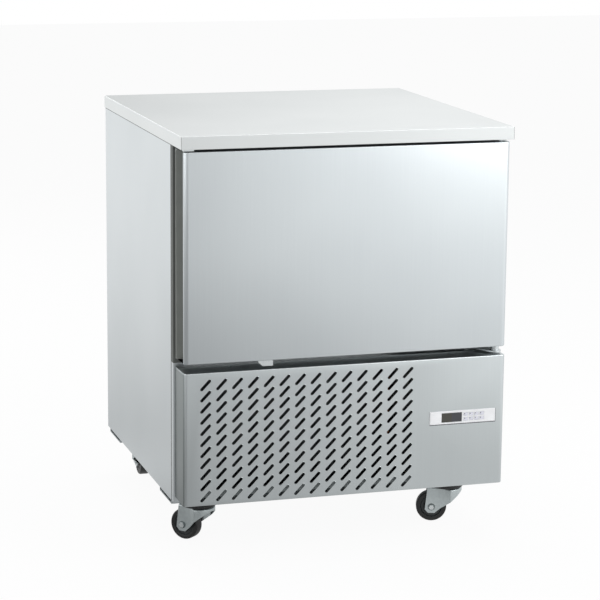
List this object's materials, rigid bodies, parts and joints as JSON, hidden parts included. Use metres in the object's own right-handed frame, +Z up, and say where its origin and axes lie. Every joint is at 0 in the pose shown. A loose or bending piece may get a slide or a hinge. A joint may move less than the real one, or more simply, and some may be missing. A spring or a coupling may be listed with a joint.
{
  "type": "blast chiller",
  "caption": "Under-counter blast chiller on swivel casters: stainless cell for trays, one large door, slotted front cover with a small controller.",
  "frame": {"origin": "on the floor, under the middle of the worktop", "axes": "+X to the right as seen from the front, -Y towards the user who opens the door, +Z up"},
  "size_m": [0.8, 0.815, 1],
  "materials": {
    "brushed_stainless": "fine vertical brushing",
    "cell_stainless": "satin",
    "galvanised_steel": "matt zinc spangle",
    "zinc_plate": "bright zinc",
    "foam": "rigid foam",
    "black_rubber": "matt",
    "gasket_rubber": "matt",
    "black_paint": "satin",
    "white_plastic": "satin",
    "key_plastic": "satin",
    "display_plastic": "gloss",
    "grey_plastic": "matt",
    "fin_aluminium": "bare",
    "copper_pipe": "bare copper"
  },
  "bodies": {
    "cabinet": {"worktop": "brushed_stainless", "side_panel_left": "brushed_stainless", "side_panel_right": "brushed_stainless", "back_panel": "galvanised_steel", "front_frame": "brushed_stainless", "base_frame": "galvanised_steel", "body_insulation": "foam", "cavity_liner": "cell_stainless", "tray_rack_left": "cell_stainless", "tray_rack_right": "cell_stainless", "evaporator_coil": "fin_aluminium", "evaporator_fan_cover": "cell_stainless", "evaporator_fan_motor": "black_paint", "drip_tray": "cell_stainless", "probe_gland": "grey_plastic", "door_hinge_lower": "brushed_stainless", "door_hinge_upper": "brushed_stainless", "fascia": "brushed_stainless", "controller_housing": "white_plastic", "display_window": "display_plastic", "condenser_coil": "fin_aluminium", "condenser_fan_shroud": "galvanised_steel", "condenser_fan_motor": "black_paint", "compressor": "black_paint", "electrical_box": "galvanised_steel", "liquid_line": "copper_pipe", "suction_line": "copper_pipe", "discharge_line": "copper_pipe", "cable_gland": "black_rubber", "caster_plate_front_left": "zinc_plate", "caster_plate_front_right": "zinc_plate", "caster_plate_rear_left": "zinc_plate", "caster_plate_rear_right": "zinc_plate"},
    "door": {"door_skin": "brushed_stainless", "door_insulation": "foam", "door_inner_panel": "cell_stainless", "door_gasket": "gasket_rubber", "door_switch_tab": "zinc_plate"},
    "evaporator_fan": {"evaporator_fan": "grey_plastic"},
    "condenser_fan": {"condenser_fan": "grey_plastic"},
    "key_1": {"key_1": "key_plastic"},
    "key_2": {"key_2": "key_plastic"},
    "key_3": {"key_3": "key_plastic"},
    "key_4": {"key_4": "key_plastic"},
    "key_5": {"key_5": "key_plastic"},
    "key_6": {"key_6": "key_plastic"},
    "key_7": {"key_7": "key_plastic"},
    "key_8": {"key_8": "key_plastic"},
    "caster_fork_front_left": {"caster_fork_front_left": "zinc_plate", "caster_axle_front_left": "zinc_plate"},
    "caster_wheel_front_left": {"caster_wheel_front_left": "black_rubber"},
    "caster_fork_front_right": {"caster_fork_front_right": "zinc_plate", "caster_axle_front_right": "zinc_plate"},
    "caster_wheel_front_right": {"caster_wheel_front_right": "black_rubber"},
    "caster_fork_rear_left": {"caster_fork_rear_left": "zinc_plate", "caster_axle_rear_left": "zinc_plate"},
    "caster_wheel_rear_left": {"caster_wheel_rear_left": "black_rubber"},
    "caster_fork_rear_right": {"caster_fork_rear_right": "zinc_plate", "caster_axle_rear_right": "zinc_plate"},
    "caster_wheel_rear_right": {"caster_wheel_rear_right": "black_rubber"}
  },
  "joints": [
    {"name": "door_hinge", "type": "hinge", "parent": "cabinet", "child": "door", "pos_m": [0.376, -0.3785, 0.475], "axis": [0, 0, 1], "range_deg": [0, 110]},
    {"name": "evaporator_fan_spin", "type": "hinge", "parent": "cabinet", "child": "evaporator_fan", "pos_m": [0, 0.13575, 0.7195], "axis": [0, 1, 0], "continuous": true},
    {"name": "condenser_fan_spin", "type": "hinge", "parent": "cabinet", "child": "condenser_fan", "pos_m": [-0.096, -0.1685, 0.27825], "axis": [0, 1, 0], "continuous": true},
    {"name": "key_1_press", "type": "slide", "parent": "cabinet", "child": "key_1", "axis": [0, 1, 0], "range_m": [0, 0.0005], "stiffness_N_per_m": 800},
    {"name": "key_2_press", "type": "slide", "parent": "cabinet", "child": "key_2", "axis": [0, 1, 0], "range_m": [0, 0.0005], "stiffness_N_per_m": 800},
    {"name": "key_3_press", "type": "slide", "parent": "cabinet", "child": "key_3", "axis": [0, 1, 0], "range_m": [0, 0.0005], "stiffness_N_per_m": 800},
    {"name": "key_4_press", "type": "slide", "parent": "cabinet", "child": "key_4", "axis": [0, 1, 0], "range_m": [0, 0.0005], "stiffness_N_per_m": 800},
    {"name": "key_5_press", "type": "slide", "parent": "cabinet", "child": "key_5", "axis": [0, 1, 0], "range_m": [0, 0.0005], "stiffness_N_per_m": 800},
    {"name": "key_6_press", "type": "slide", "parent": "cabinet", "child": "key_6", "axis": [0, 1, 0], "range_m": [0, 0.0005], "stiffness_N_per_m": 800},
    {"name": "key_7_press", "type": "slide", "parent": "cabinet", "child": "key_7", "axis": [0, 1, 0], "range_m": [0, 0.0005], "stiffness_N_per_m": 800},
    {"name": "key_8_press", "type": "slide", "parent": "cabinet", "child": "key_8", "axis": [0, 1, 0], "range_m": [0, 0.0005], "stiffness_N_per_m": 800},
    {"name": "caster_swivel_front_left", "type": "hinge", "parent": "cabinet", "child": "caster_fork_front_left", "pos_m": [-0.315, -0.232, 0.088], "axis": [0, 0, 1], "continuous": true},
    {"name": "caster_roll_front_left", "type": "hinge", "parent": "caster_fork_front_left", "child": "caster_wheel_front_left", "pos_m": [-0.33842, -0.20599, 0.0375], "axis": [0.7431, 0.6691, 0], "continuous": true},
    {"name": "caster_swivel_front_right", "type": "hinge", "parent": "cabinet", "child": "caster_fork_front_right", "pos_m": [0.315, -0.232, 0.088], "axis": [0, 0, 1], "continuous": true},
    {"name": "caster_roll_front_right", "type": "hinge", "parent": "caster_fork_front_right", "child": "caster_wheel_front_right", "pos_m": [0.28171, -0.22118, 0.0375], "axis": [0.309, 0.9511, 0], "continuous": true},
    {"name": "caster_swivel_rear_left", "type": "hinge", "parent": "cabinet", "child": "caster_fork_rear_left", "pos_m": [-0.315, 0.328, 0.088], "axis": [0, 0, 1], "continuous": true},
    {"name": "caster_roll_rear_left", "type": "hinge", "parent": "caster_fork_rear_left", "child": "caster_wheel_rear_left", "pos_m": [-0.315, 0.363, 0.0375], "axis": [1, 0, 0], "continuous": true},
    {"name": "caster_swivel_rear_right", "type": "hinge", "parent": "cabinet", "child": "caster_fork_rear_right", "pos_m": [0.315, 0.328, 0.088], "axis": [0, 0, 1], "continuous": true},
    {"name": "caster_roll_rear_right", "type": "hinge", "parent": "caster_fork_rear_right", "child": "caster_wheel_rear_right", "pos_m": [0.28633, 0.34808, 0.0375], "axis": [0.5736, 0.8192, 0], "continuous": true}
  ]
}
